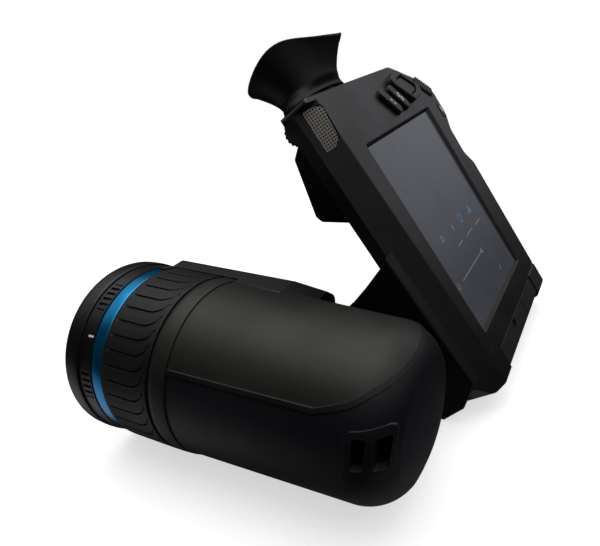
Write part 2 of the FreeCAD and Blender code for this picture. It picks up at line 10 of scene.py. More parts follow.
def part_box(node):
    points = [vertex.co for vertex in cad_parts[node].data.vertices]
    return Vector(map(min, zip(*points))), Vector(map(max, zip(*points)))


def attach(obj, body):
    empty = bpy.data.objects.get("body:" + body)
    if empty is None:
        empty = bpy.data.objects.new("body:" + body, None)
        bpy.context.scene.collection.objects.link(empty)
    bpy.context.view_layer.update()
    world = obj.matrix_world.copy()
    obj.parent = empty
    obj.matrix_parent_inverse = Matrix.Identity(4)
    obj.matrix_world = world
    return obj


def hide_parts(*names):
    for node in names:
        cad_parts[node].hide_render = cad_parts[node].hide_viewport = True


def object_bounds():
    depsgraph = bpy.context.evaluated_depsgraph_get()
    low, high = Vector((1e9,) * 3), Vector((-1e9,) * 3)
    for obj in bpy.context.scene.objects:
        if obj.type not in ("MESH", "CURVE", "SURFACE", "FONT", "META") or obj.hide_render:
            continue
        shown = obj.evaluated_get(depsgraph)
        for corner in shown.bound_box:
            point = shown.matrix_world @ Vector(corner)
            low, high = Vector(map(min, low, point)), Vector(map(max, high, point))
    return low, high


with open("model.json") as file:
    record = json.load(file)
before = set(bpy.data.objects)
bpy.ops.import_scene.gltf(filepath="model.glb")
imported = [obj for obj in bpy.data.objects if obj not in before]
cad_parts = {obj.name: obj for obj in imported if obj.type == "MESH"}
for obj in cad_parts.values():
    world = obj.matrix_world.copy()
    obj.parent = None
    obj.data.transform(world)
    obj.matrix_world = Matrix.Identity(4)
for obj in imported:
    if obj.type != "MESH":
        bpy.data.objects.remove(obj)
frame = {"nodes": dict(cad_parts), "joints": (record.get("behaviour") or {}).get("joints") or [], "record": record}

MM = 0.001
nodes = frame["nodes"]
cad_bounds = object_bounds()


# ------------------------------------------------------------------- the two frames of the design

def lens_origin():
    """Front end of the lens axis, at the middle of the front ring's face."""
    low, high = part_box("front_ring")
    return Vector(((low.x + high.x) / 2, low.y, (low.z + high.z) / 2))


LENS = lens_origin()
press = next(j for j in frame["joints"] if j["name"] == "key_upper_press")
SIDE = Vector((1, 0, 0))
OUT = -Vector(press["axis"]).normalized()        # out of the display's glass
DOWN = OUT.cross(SIDE)                           # down the display


def block(x, y, z):
    """Point of the row frame from millimetres off the front end of the lens axis."""
    return LENS + Vector((x, y, z)) * MM


def on_lens(radius, y, degrees):
    """Point of the row frame at an angle about the lens axis, from the near side upwards."""
    turn = math.radians(degrees)
    return block(radius * math.cos(turn), y, radius * math.sin(turn))


def display_origin():
    """The display's origin: on the glass, in the plane of the lens axis, 0.15 mm below its top edge."""
    glass = [v.co for v in nodes["screen_glass"].data.vertices]
    level = max(p.dot(OUT) for p in glass)
    edge = min(p.dot(DOWN) for p in glass) + 0.15 * MM
    return SIDE * LENS.x + OUT * level + DOWN * edge


DISPLAY = display_origin()


def slab(x, s, h):
    """Point of the row frame from display coordinates: across, down the screen and out of it, in mm."""
    return DISPLAY + SIDE * x * MM + DOWN * s * MM + OUT * h * MM


# ----------------------------------------------------------------------------------- materials

def link(tree, source, target):
    """Joins two sockets of a node tree."""
    tree.links.new(source, target)


def noise(tree, coords, scale, detail=3.0, rough=0.55):
    """Noise texture; scale is in features per metre."""
    node = tree.nodes.new("ShaderNodeTexNoise")
    node.inputs["Scale"].default_value = scale
    node.inputs["Detail"].default_value = detail
    node.inputs["Roughness"].default_value = rough
    link(tree, coords, node.inputs["Vector"])
    return node.outputs["Fac"]


def spread(tree, value, low, high, start=0.3, end=0.7):
    """Maps a noise value to a range of its own."""
    node = tree.nodes.new("ShaderNodeMapRange")
    node.interpolation_type = "SMOOTHSTEP"
    node.inputs["From Min"].default_value = start
    node.inputs["From Max"].default_value = end
    node.inputs["To Min"].default_value = low
    node.inputs["To Max"].default_value = high
    link(tree, value, node.inputs["Value"])
    return node.outputs["Result"]


def blend_colours(tree, factor, first, second):
    """Mix of two colours, either of which is a fixed colour or a socket."""
    node = tree.nodes.new("ShaderNodeMix")
    node.data_type = "RGBA"
    link(tree, factor, node.inputs[0])
    for socket, colour in ((node.inputs[6], first), (node.inputs[7], second)):
        if isinstance(colour, bpy.types.NodeSocket):
            link(tree, colour, socket)
        else:
            socket.default_value = (*colour, 1.0)
    return node.outputs[2]


def edge_mask(tree, width):
    """1 along edges, where wear and a painted edge highlight go, and 0 elsewhere."""
    bevel = tree.nodes.new("ShaderNodeBevel")
    bevel.samples = 4
    bevel.inputs["Radius"].default_value = width
    geometry = tree.nodes.new("ShaderNodeNewGeometry")
    dot = tree.nodes.new("ShaderNodeVectorMath")
    dot.operation = "DOT_PRODUCT"
    link(tree, bevel.outputs["Normal"], dot.inputs[0])
    link(tree, geometry.outputs["Normal"], dot.inputs[1])
    return spread(tree, dot.outputs["Value"], 1.0, 0.0, 0.9, 0.995)


def new_material(name, colour):
    """Material with its tree, its shader and the object's own coordinates in metres."""
    material = bpy.data.materials.new(name)
    material.use_nodes = True
    material.diffuse_color = (*colour, 1.0)
    tree = material.node_tree
    shader = tree.nodes["Principled BSDF"]
    coords = tree.nodes.new("ShaderNodeTexCoord").outputs["Object"]
    return material, tree, shader, coords


def add_bump(tree, shader, height, strength, depth):
    """Bump from a height socket; depth is in mm."""
    bump = tree.nodes.new("ShaderNodeBump")
    bump.inputs["Strength"].default_value = strength
    bump.inputs["Distance"].default_value = depth * MM
    link(tree, height, bump.inputs["Height"])
    link(tree, bump.outputs["Normal"], shader.inputs["Normal"])


def moulded(name, colour, rough, grain=2600.0, depth=0.02, patch=0.14, uneven=0.05, specular=0.5,
            edge_wear_and_highlight=0.0):
    """Moulded or painted surface: cloudy colour, uneven gloss, a fine grain and lighter edges, partly wear and
    partly a painted edge highlight.

    grain is in features per metre and depth, the height of the grain, in mm.
    """
    material, tree, shader, coords = new_material(name, colour)
    dark = tuple(c * (1 - patch) for c in colour)
    light = tuple(c * (1 + patch) for c in colour)
    cloud = spread(tree, noise(tree, coords, 45.0, 4.0), 0.0, 1.0)
    base = blend_colours(tree, cloud, dark, light)
    speck = spread(tree, noise(tree, coords, grain * 0.7, 2.0), 0.0, 0.35, 0.45, 0.75)
    base = blend_colours(tree, speck, base, tuple(min(1.0, c * 1.5 + 0.004) for c in colour))
    # edges lightened in the base colour: partly wear, partly a painted highlight along them
    if edge_wear_and_highlight:
        worn_and_lit_edges = spread(tree, edge_mask(tree, 0.0005), 0.0, edge_wear_and_highlight, 0.0, 1.0)
        base = blend_colours(tree, worn_and_lit_edges, base, tuple(min(1.0, c * 2.2 + 0.02) for c in colour))
    link(tree, base, shader.inputs["Base Color"])
    gloss = spread(tree, noise(tree, coords, 30.0, 5.0), max(0.03, rough - uneven), rough + uneven)
    link(tree, gloss, shader.inputs["Roughness"])
    shader.inputs["Specular IOR Level"].default_value = specular
    add_bump(tree, shader, noise(tree, coords, grain, 2.0), 0.55, depth)
    return material


def machined(name, colour, rough, metallic, coat=0.0):
    """Turned metal: fine lines about the lens axis under a satin finish."""
    material, tree, shader, coords = new_material(name, colour)
    stretch = tree.nodes.new("ShaderNodeMapping")
    stretch.inputs["Scale"].default_value = (0.02, 1.0, 0.02)
    link(tree, coords, stretch.inputs["Vector"])
    turning = noise(tree, stretch.outputs["Vector"], 7000.0, 2.0)
    tone = spread(tree, turning, 0.0, 1.0)
    cloud = spread(tree, noise(tree, coords, 60.0, 3.0), 0.0, 0.5)
    dark = tuple(c * 0.88 for c in colour)
    light = tuple(min(1, c * 1.1) for c in colour)
    base = blend_colours(tree, tone, dark, light)
    base = blend_colours(tree, cloud, base, tuple(c * 0.9 for c in colour))
    link(tree, base, shader.inputs["Base Color"])
    link(tree, spread(tree, turning, rough * 0.85, rough * 1.2), shader.inputs["Roughness"])
    shader.inputs["Metallic"].default_value = metallic
    shader.inputs["Coat Weight"].default_value = coat
    shader.inputs["Coat Roughness"].default_value = 0.18
    add_bump(tree, shader, turning, 0.35, 0.006)
    return material


def glass(name, colour, rough, rim, haze=None, gloss=0.6):
    """Dark polished glass with a coating that changes towards its edge, and faint smears.

    rim is the coating's colour at a grazing angle and haze the light of a lit panel behind the glass.
    """
    material, tree, shader, coords = new_material(name, colour)
    facing = tree.nodes.new("ShaderNodeLayerWeight")
    facing.inputs["Blend"].default_value = 0.35
    base = blend_colours(tree, facing.outputs["Facing"], colour, rim)
    link(tree, base, shader.inputs["Base Color"])
    smear = spread(tree, noise(tree, coords, 55.0, 6.0, 0.7), rough, rough * 2.2, 0.42, 0.68)
    link(tree, smear, shader.inputs["Roughness"])
    shader.inputs["Specular IOR Level"].default_value = gloss
    shader.inputs["Coat Weight"].default_value = gloss / 2
    shader.inputs["Coat Roughness"].default_value = 0.06
    if haze:
        lit = spread(tree, noise(tree, coords, 14.0, 3.0), 0.85, 1.0)
        link(tree, lit, shader.inputs["Emission Strength"])
        shader.inputs["Emission Color"].default_value = (*haze, 1.0)
    return material


def glowing(name, colour, strength):
    """Printed mark with a faint painted glow, or a lit screen mark, slightly uneven."""
    material, tree, shader, coords = new_material(name, colour)
    uneven = spread(tree, noise(tree, coords, 900.0, 3.0), 0.0, 1.0)
    base = blend_colours(tree, uneven, tuple(c * 0.85 for c in colour), colour)
    link(tree, base, shader.inputs["Base Color"])
    # the glow: a lit screen for screen marks, a painted glow for printed white marks
    link(tree, base, shader.inputs["Emission Color"])
    shader.inputs["Emission Strength"].default_value = strength
    shader.inputs["Roughness"].default_value = 0.5
    return material


LOOKS = {
    "soft_cover": moulded("soft_cover", (0.0135, 0.014, 0.011), 0.5, 2200.0, 0.03, 0.12, 0.05,
                          specular=0.4, edge_wear_and_highlight=0.25),
    "block_shell": moulded("block_shell", (0.0058, 0.0055, 0.0085), 0.5, 2400.0, 0.03, 0.12, 0.05,
                           specular=0.35, edge_wear_and_highlight=0.3),
    "trim": moulded("trim", (0.006, 0.0055, 0.005), 0.5, 2600.0, 0.02, specular=0.35),
    "ring_black": moulded("ring_black", (0.0055, 0.0052, 0.006), 0.36, 3400.0, 0.012, 0.1, 0.04,
                          specular=0.5, edge_wear_and_highlight=0.5),
    "ring_blue": machined("ring_blue", (0.008, 0.29, 0.64), 0.22, 0.85, 0.15),
    "focus_rubber": moulded("focus_rubber", (0.005, 0.0048, 0.005), 0.55, 3000.0, 0.03, 0.15, 0.06,
                            specular=0.4, edge_wear_and_highlight=0.2),
    "lens_metal": machined("lens_metal", (0.02, 0.02, 0.022), 0.35, 0.6),
    "germanium": glass("germanium", (0.05, 0.035, 0.06), 0.05, (0.02, 0.06, 0.05)),
    "clear_glass": glass("clear_glass", (0.01, 0.014, 0.03), 0.04, (0.05, 0.03, 0.08)),
    "strap_plastic": moulded("strap_plastic", (0.006, 0.0058, 0.0085), 0.48, 2600.0, 0.03, edge_wear_and_highlight=0.4),
    "sensor_metal": machined("sensor_metal", (0.5, 0.5, 0.5), 0.35, 1.0),
    "board": moulded("board", (0.01, 0.08, 0.04), 0.4),
    "brass": machined("brass", (0.62, 0.45, 0.2), 0.3, 1.0),
    "steel": machined("steel", (0.16, 0.16, 0.17), 0.38, 1.0),
    "display_shell": moulded("display_shell", (0.008, 0.0072, 0.0065), 0.38, 2300.0, 0.02, 0.12, 0.05,
                             specular=0.5, edge_wear_and_highlight=0.3),
    "rear_plastic": moulded("rear_plastic", (0.0032, 0.003, 0.005), 0.5, 2400.0, 0.03, 0.12, 0.05,
                            specular=0.25, edge_wear_and_highlight=0.3),
    "seal_rubber": moulded("seal_rubber", (0.004, 0.004, 0.0045), 0.6, 2600.0, 0.03),
    "screen_glass": glass("screen_glass", (0.006, 0.006, 0.008), 0.12, (0.01, 0.011, 0.014),
                          (0.042, 0.044, 0.052), 0.35),
    "lcd": glass("lcd", (0.01, 0.012, 0.016), 0.2, (0.02, 0.02, 0.03)),
    "grille_metal": machined("grille_metal", (0.34, 0.32, 0.29), 0.32, 0.9),
    "speaker": moulded("speaker", (0.008, 0.008, 0.008), 0.8, 3000.0, 0.06),
    "key_plastic": moulded("key_plastic", (0.02, 0.0195, 0.019), 0.45, 2600.0, 0.02, edge_wear_and_highlight=0.35),
    "socket_metal": machined("socket_metal", (0.45, 0.45, 0.46), 0.3, 1.0),
    "barrel_plastic": moulded("barrel_plastic", (0.012, 0.012, 0.012), 0.5),
    "eyecup_rubber": moulded("eyecup_rubber", (0.0038, 0.0034, 0.0038), 0.55, 2600.0, 0.035, 0.15, 0.07,
                             specular=0.35),
    "battery_case": moulded("battery_case", (0.015, 0.015, 0.016), 0.5, edge_wear_and_highlight=0.3),
}
MARKS = {
    # white print with a faint painted glow, brighter than the lamps alone make it
    "white_mark": glowing("white_mark", (0.75, 0.75, 0.74), 0.05),
    "screen_grey": glowing("screen_grey", (0.16, 0.18, 0.21), 0.35),
    "screen_blue": glowing("screen_blue", (0.05, 0.13, 0.24), 0.55),
}


def dress_cad_nodes():
    """Gives each CAD node its slot's material."""
    slots = {part["node"]: part["material_slot"] for part in frame["record"]["subparts"]}
    for name, obj in nodes.items():
        obj.data.materials.clear()
        obj.data.materials.append(LOOKS[slots[name]])


# ------------------------------------------------------------------------------- mesh building

def piece(name, points, faces, material, body, smooth=30.0):
    """Mesh object with a material, riding on a body."""
    mesh = bpy.data.meshes.new(name)
    mesh.from_pydata([tuple(p) for p in points], [], faces)
    mesh.validate()
    return finish_piece(name, mesh, material, body, smooth)


def finish_piece(name, mesh, material, body, smooth):
    """Object from a mesh, its normals outwards and its edges sharp above so many degrees."""
    bm = bmesh.new()
    bm.from_mesh(mesh)
    bmesh.ops.recalc_face_normals(bm, faces=bm.faces)
    bm.to_mesh(mesh)
    bm.free()
    mesh.materials.append(material)
    mesh.shade_smooth()
    mesh.set_sharp_from_angle(angle=math.radians(smooth))
    obj = bpy.data.objects.new(name, mesh)
    bpy.context.scene.collection.objects.link(obj)
    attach(obj, body)
    return obj


def ring_faces(columns, rows):
    """Quads of a tube: columns round it, rows along its section, which closes on itself."""
    faces = []
    for i in range(columns):
        here = i * rows
        there = ((i + 1) % columns) * rows
        for k in range(rows):
            m = (k + 1) % rows
            faces.append((here + k, here + m, there + m, there + k))
    return faces


def turned(name, profile, material, body, angles=None, shape=None, smooth=30.0):
    """Ring about the lens axis from a closed (radius, y) profile; shape(angle, radius, y) moves a point."""
    angles = angles or [i * 1.0 for i in range(360)]
    points = []
    for angle in angles:
        for radius, y in profile:
            turn, reach = shape(angle, radius, y) if shape else (angle, radius)
            points.append(on_lens(reach, y, turn))
    return piece(name, points, ring_faces(len(angles), len(profile)), material, body, smooth)


def rounded(corners):
    """Closed (radius, y) profile from corners that are (radius, y, rounding)."""
    result = []
    count = len(corners)
    steps = 4
    for i, corner in enumerate(corners):
        here = Vector(corner[:2])
        before = Vector(corners[i - 1][:2]) - here
        after = Vector(corners[(i + 1) % count][:2]) - here
        size = min(corner[2], before.length * 0.45, after.length * 0.45)
        a = here + before.normalized() * size
        b = here + after.normalized() * size
        for k in range(steps + 1):
            t = k / steps
            p = a * (1 - t) ** 2 + here * 2 * t * (1 - t) + b * t ** 2
            result.append(tuple(p))
    return result


# ------------------------------------------------------------------------------------ lens rings

RIB_CENTRES = (12.0, 68.0, 130.0, 190.0, 250.0, 310.0)    # grip ribs on the index band, degrees
RIB_PITCH = 4.0           # degrees from rib to rib
RIB_DEPTH = 0.95
GROOVES = 40              # grooves of the focus ring
GROOVE_DEPTH = 0.85
GROOVE_START = 1.0        # angle of the first groove at the ring's front, degrees
RING_BORE = 33.65         # inside of the rings, which sit on the lens housing


def front_ring():
    """Front ring with a rounded lip."""
    profile = rounded([(29.0, 4.5, 0.1), (33.6, 0.05, 0.3), (36.2, 0.05, 0.9), (37.1, 2.0, 1.4),
                       (37.28, 5.6, 1.0), (37.2, 7.95, 0.45), (33.6, 7.95, 0.1), (33.6, 4.5, 0.1)])
    ring = turned("front_ring_turned", profile, LOOKS["ring_black"], "optical_block")
    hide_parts("front_ring")


def off_centre(degrees, centre):
    """Signed angle from a centre, between -180 and 180 degrees."""
    return (degrees - centre + 180.0) % 360.0 - 180.0


def rib_depth(angle, y):
    """How far the index band is cut back between its grip ribs."""
    for centre in RIB_CENTRES:
        offset = off_centre(angle, centre)
        if abs(offset) < 2.5 * RIB_PITCH and 9.4 < y < 13.5:
            phase = (offset / RIB_PITCH) % 1.0
            return RIB_DEPTH if 0.28 < phase < 0.72 else 0.0
    return 0.0


def index_band():
    """Band with groups of grip ribs and an index line."""
    front, back = 8.1, 14.05
    rows = [8.15, 8.6, 9.3, 9.45, 9.7, 11.0, 12.3, 13.3, 13.55, 14.0]
    profile = [(RING_BORE, front), (36.3, front)] + [(36.55, y) for y in rows]
    profile += [(36.3, back), (RING_BORE, back)]

    def shape(angle, radius, y):
        return angle, radius - (rib_depth(angle, y) if radius > 36.4 else 0.0)

    angles = [i * 0.5 for i in range(720)]
    ring = turned("index_band_ribbed", profile, LOOKS["ring_black"], "optical_block",
                  angles, shape)
    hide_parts("index_band")
    index_tick()


def index_tick():
    """White index line on the band."""
    points = []
    for level in (36.45, 36.62):
        for y, degrees in ((11.2, 40.9), (13.7, 40.9), (13.7, 42.3), (11.2, 42.3)):
            points.append(on_lens(level, y, degrees))
    faces = [(0, 1, 2, 3), (4, 7, 6, 5), (0, 4, 5, 1), (1, 5, 6, 2), (2, 6, 7, 3), (3, 7, 4, 0)]
    piece("index_tick", points, faces, MARKS["white_mark"], "optical_block")


def blue_ring():
    """Polished blue ring with eased edges."""
    profile = rounded([(RING_BORE, 14.2, 0.1), (36.1, 14.2, 0.25), (36.3, 14.6, 0.2), (36.3, 19.2, 0.2),
                       (36.0, 19.65, 0.25), (RING_BORE, 19.65, 0.1)])
    ring = turned("blue_ring_turned", profile, LOOKS["ring_blue"], "optical_block")
    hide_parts("blue_ring")


def groove_sweep(y):
    """Degrees by which the focus ring's grooves hook over towards the block."""
    bend = min(1.0, max(0.0, (y - 34.0) / 6.0))
    hook = min(1.0, max(0.0, y - 39.0))
    return 5.2 * bend ** 1.7 + 2.4 * hook


def focus_ring():
    """Rubber ring with hooked grooves between smooth bands."""
    rows = [20.3, 20.8, 21.6, 22.2, 22.6, 23.0, 23.6, 25.5, 28.0, 30.5, 32.5, 33.5, 34.5, 35.5, 36.5,
            37.4, 38.2, 38.9, 39.4, 39.8, 40.2, 40.6, 41.2, 41.7]
    outer = [(36.88, y) for y in rows]
    profile = [(33.62, 20.05), (36.5, 20.05), (36.8, 20.12)] + outer
    profile += [(36.8, 41.88), (36.5, 41.95), (33.62, 41.95)]
    steps = (-0.65, -0.5, -0.3, 0.0, 0.3, 0.5, 0.65, 1.5, 2.6, 4.0, 5.5, 7.0)    # degrees off a groove
    depths = {-0.5: 0.45, -0.3: 0.95, 0.0: 1.0, 0.3: 0.95, 0.5: 0.45, 7.0: 0.1}    # shares of its depth
    pitch = 360.0 / GROOVES
    angles = [i * pitch + step + GROOVE_START for i in range(GROOVES) for step in steps]

    def shape(angle, radius, y):
        if radius < 36.85:
            return angle, radius
        step = round((angle - GROOVE_START + 1.0) % pitch - 1.0, 2)
        end = min(1.0, max(0.0, (y - 22.0) / 1.0), max(0.0, (40.5 - y) / 0.9))
        return angle + groove_sweep(y), radius - GROOVE_DEPTH * depths.get(step, 0.0) * end

    ring = turned("focus_ring_grooved", profile, LOOKS["focus_rubber"], "focus_ring_body",
                  angles, shape, 38.0)
    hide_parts("focus_ring")


def cheek_gap_painted_shade():
    """Dark strip in the gap between the blue ring and the swivel side's cheek: painted shade where the cheek's
    shadow falls.
    """
    section = ((36.2, 16.3), (37.3, 16.3), (37.3, 19.9), (36.2, 19.9))
    angles = [104.0 + 2.0 * i for i in range(36)]
    points = [on_lens(radius, y, angle) for angle in angles for radius, y in section]
    faces = ring_faces(len(angles), 4)[:-4]
    last = 4 * (len(angles) - 1)
    faces += [(3, 2, 1, 0), (last, last + 1, last + 2, last + 3)]
    # a dark strip standing in for the shadow in the gap under the cheek
    piece("cheek_gap_painted_shade", points, faces, LOOKS["seal_rubber"], "optical_block")


def bayonet_collar():
    """Collar that swells softly towards the block."""
    profile = rounded([(35.35, 42.2, 0.05), (36.3, 42.2, 0.3), (36.85, 44.0, 1.2), (36.75, 46.4, 1.4),
                       (36.5, 49.8, 0.2), (35.35, 49.8, 0.05)])
    ring = turned("bayonet_collar_turned", profile, LOOKS["soft_cover"], "optical_block")
    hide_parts("bayonet_collar")


# ---------------------------------------------------------------------------------------- eyecup

EYE = (-73.0, -9.2)       # eyepiece axis in the display's x and h
TIP = 132.0               # direction of the eyecup's raised tip, degrees from +X towards the screen side
BORE = 9.6                # radius of the hole over the barrel
FLANGE = -27.05           # the eyecup's levels along the eyepiece axis, as display s
SHOULDER = -28.4
WAIST = -31.8
THROAT = -33.4


def crest(degrees, centre, width):
    """1 at a centre, falling off to either side."""
    return math.exp(-(off_centre(degrees, centre) / width) ** 2)


def rim_reach(degrees):
    """Radius of the oval rim, with its tip."""
    wave = math.cos(2 * math.radians(degrees - 140.0))
    return 19.6 + 2.2 * wave + 1.6 * crest(degrees, TIP, 22.0)


def rim_level(degrees):
    """The rim is highest on the near side and behind, with a small point at the tip."""
    near_side = crest(degrees, 20.0, 50.0)
    behind = crest(degrees, -60.0, 40.0)
    return -41.0 - 7.2 * near_side - 1.6 * behind - 1.3 * crest(degrees, TIP, 12.0)


def oval_reach(width, depth, degrees):
    """Radius of an oval with those half axes."""
    turn = math.radians(degrees)
    return width * depth / math.hypot(depth * math.cos(turn), width * math.sin(turn))


def eyecup():
    """Soft rubber cup: flange, waist, flared wall with a rolled lip, and a bowl down to the eyepiece."""
    points = []
    columns = 144
    for i in range(columns):
        degrees = 360.0 * i / columns
        reach = rim_reach(degrees)
        level = rim_level(degrees)
        waist = oval_reach(16.6, 12.8, degrees)
        throat = oval_reach(14.2, 10.6, degrees)
        base = oval_reach(20.8, 10.6, degrees)
        section = [(BORE, FLANGE), (base - 0.5, FLANGE), (base, -27.5), (base - 0.3, -28.2)]
        for t in (0.15, 0.35, 0.6, 0.85, 1.0):
            ease = t * t * (3 - 2 * t)
            section.append((base - 0.5 + (waist - base + 0.5) * ease, SHOULDER + (WAIST - SHOULDER) * t))
        for t in (0.08, 0.2, 0.35, 0.5, 0.65, 0.8, 0.92):
            section.append((waist + (reach - waist) * t ** 1.25, WAIST + (level - WAIST) * t))
        section += [(reach - 0.1, level + 0.55), (reach, level), (reach - 0.35, level - 0.35),
                    (reach - 0.9, level - 0.3), (reach - 1.25, level + 0.2)]
        for t in (0.9, 0.75, 0.6, 0.45, 0.3, 0.15, 0.0):
            section.append((throat + (reach - 1.6 - throat) * t ** 1.2, THROAT + (level + 33.6) * t))
        section += [(throat - 0.8, -33.0), (throat - 1.6, -32.9), (9.9, -32.9), (BORE, -32.7)]
        turn = math.radians(degrees)
        for radius, s in section:
            radius = max(radius, BORE)
            points.append(slab(EYE[0] + radius * math.cos(turn), s, EYE[1] + radius * math.sin(turn)))
    rows = len(points) // columns
    cup = piece("eyecup_rubber", points, ring_faces(columns, rows), LOOKS["eyecup_rubber"],
                "eyecup_body", 50.0)
    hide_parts("eyecup")


# ----------------------------------------------------------------------------------------- grille

HOLE_PITCH = 1.12
HOLE_RADIUS = 0.36
HOLE_ROWS = 18
GRILLE_START = -25.0      # display s of the first row's edge
SHEET = 0.35              # thickness of the sheet
GRILLE_PATH = [(-57.6, 1.4), (-56.2, 1.4), (-48.1, -6.35)]   # (x, h) across the bevel
GRILLE_OUTLINE = [(-50.35, -23.4), (-54.4, -22.8), (-56.6, -21.4), (-55.5, -8.4), (-53.0, -6.3),
                  (-50.35, -6.8)]


def along_grille(distance, inset=0.0):
    """(x, h) of a point that far along the folded sheet, moved inwards by inset."""
    for (x0, h0), (x1, h1) in zip(GRILLE_PATH, GRILLE_PATH[1:]):
        length = math.hypot(x1 - x0, h1 - h0)
        if distance <= length or (x1, h1) == GRILLE_PATH[-1]:
            t = distance / length
            side = Vector(((h1 - h0) / length, -(x1 - x0) / length))
            return x0 + (x1 - x0) * t + side.x * inset, h0 + (h1 - h0) * t + side.y * inset
        distance -= length


def speaker_grille():
    """Perforated sheet folded round the bevel, with a dark cloth behind it."""
    length = sum(math.hypot(b[0] - a[0], b[1] - a[1]) for a, b in zip(GRILLE_PATH, GRILLE_PATH[1:]))
    columns = int(length / HOLE_PITCH)
    corners = 12
    bm = bmesh.new()
    for i in range(columns):
        for k in range(HOLE_ROWS):
            u = (i + 0.5) * length / columns
            s = GRILLE_START + (k + 0.5) * HOLE_PITCH
            outer = []
            inner = []
            for c in range(corners):
                turn = 2 * math.pi * (c + 0.5) / corners
                x, y = math.cos(turn), math.sin(turn)
                scale = 0.5 * HOLE_PITCH / max(abs(x), abs(y))
                outer.append((u + x * scale, s + y * scale))
                inner.append((u + HOLE_RADIUS * x, s + HOLE_RADIUS * y))
            ring = []
            for du, ds in outer + inner:
                x, h = along_grille(max(0.0, du), 0.3)
                ring.append(bm.verts.new((x, ds, h)))
            for c in range(corners):
                d = (c + 1) % corners
                bm.faces.new((ring[c], ring[d], ring[corners + d], ring[corners + c]))
    bmesh.ops.remove_doubles(bm, verts=bm.verts, dist=0.02)
    clip_to_outline(bm, GRILLE_OUTLINE)
    bmesh.ops.recalc_face_normals(bm, faces=bm.faces)
    bmesh.ops.solidify(bm, geom=bm.faces[:], thickness=SHEET)
    sheet = display_mesh("speaker_grille_sheet", bm, LOOKS["grille_metal"])
    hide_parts("speaker_grille")
    speaker_cloth()


def clip_to_outline(bm, outline):
    """Cuts a mesh in display coordinates to a convex outline in x and s."""
    count = len(outline)
    centre = Vector((sum(p[0] for p in outline) / count, sum(p[1] for p in outline) / count, 0))
    for i, (x, s) in enumerate(outline):
        before = outline[i - 1]
        along = Vector((x - before[0], s - before[1], 0))
        normal = Vector((along.y, -along.x, 0)).normalized()
        if (centre - Vector((x, s, 0))).dot(normal) > 0:
            normal = -normal
        geometry = bm.verts[:] + bm.edges[:] + bm.faces[:]
        bmesh.ops.bisect_plane(bm, geom=geometry, plane_co=(x, s, 0), plane_no=normal, clear_outer=True)


def display_mesh(name, bm, material, body="display_unit"):
    """Turns a bmesh in display coordinates (mm) into a piece."""
    for vertex in bm.verts:
        vertex.co = slab(*vertex.co)
    mesh = bpy.data.meshes.new(name)
    bm.to_mesh(mesh)
    bm.free()
    return finish_piece(name, mesh, material, body, 35.0)


def speaker_cloth():
    """Dark cloth behind the sheet, parallel to the bevel."""
    (x0, h0), (x1, h1) = GRILLE_PATH[-2:]
    points = []
    for depth in (1.35, 1.6):
        for x, s in GRILLE_OUTLINE:
            points.append(slab(x, s, h0 + (x - x0) * (h1 - h0) / (x1 - x0) - depth))
    count = len(GRILLE_OUTLINE)
    faces = [tuple(range(count)), tuple(range(2 * count - 1, count - 1, -1))]
    for k in range(count):
        m = (k + 1) % count
        faces.append((k, m, count + m, count + k))
    piece("speaker_cloth", points, faces, LOOKS["speaker"], "display_unit")


# ------------------------------------------------------------------------------ marks and symbols

def pill(centre, length, width, degrees):
    """Rounded bar as a polygon in display x and s."""
    turn = math.radians(degrees)
    along = Vector((math.cos(turn), math.sin(turn)))
    across = Vector((-along.y, along.x))
    middle = Vector(centre)
    half = (length - width) / 2
    points = []
    for sign in (1, -1):
        for k in range(9):
            angle = math.radians(-90 + 22.5 * k)
            tip = along * math.cos(angle) * sign + across * math.sin(angle) * sign
            points.append(middle + along * half * sign + tip * width / 2)
    return [points]


def loop(centre, radius, width):
    """Ring as quads in display x and s."""
    steps = 24
    quads = []
    for k in range(steps):
        corners = []
        for place, reach in ((k, radius), (k + 1, radius), (k + 1, radius - width), (k, radius - width)):
            turn = math.radians(360.0 * place / steps)
            corners.append(Vector((centre[0] + reach * math.cos(turn), centre[1] + reach * math.sin(turn))))
        quads.append(corners)
    return quads


def polygon(centre, points):
    """Filled shape in display x and s, its points given from its centre."""
    return [[Vector((centre[0] + x, centre[1] + s)) for x, s in points]]


def mark(name, polygons, level, material, body):
    """Thin raised print in display coordinates."""
    bm = bmesh.new()
    for points in polygons:
        bm.faces.new([bm.verts.new((p.x, p.y, level)) for p in points])
    bmesh.ops.remove_doubles(bm, verts=bm.verts, dist=0.001)
    bmesh.ops.recalc_face_normals(bm, faces=bm.faces)
    bmesh.ops.solidify(bm, geom=bm.faces[:], thickness=0.04)
    return display_mesh(name, bm, material, body)


def key_symbols():
    """Generic white symbols on the keys."""
    white = MARKS["white_mark"]
    upper = loop((-119.4, -10.3), 1.15, 0.5) + loop((-117.6, -12.5), 1.15, 0.5)
    mark("symbol_key_upper", upper, 3.63, white, "key_upper_body")
    lower = pill((-109.5, -9.8), 1.9, 0.7, 130.0) + pill((-107.9, -11.7), 1.9, 0.7, 130.0)
    mark("symbol_key_lower", lower, 3.63, white, "key_lower_body")
    power = pill((-161.0, 3.4), 3.6, 1.2, 96.0)
    mark("symbol_power", power, 1.93, white, "power_key_body")


def microphone():
    """Small dark disc below the screen: the painted shade of a microphone hole."""
    hole = loop((-66.2, 103.3), 0.7, 0.69)
    # flat dark disc painted where the shade inside the hole would be
    mark("microphone_hole_painted_shade", hole, 1.53, LOOKS["speaker"], "display_unit")


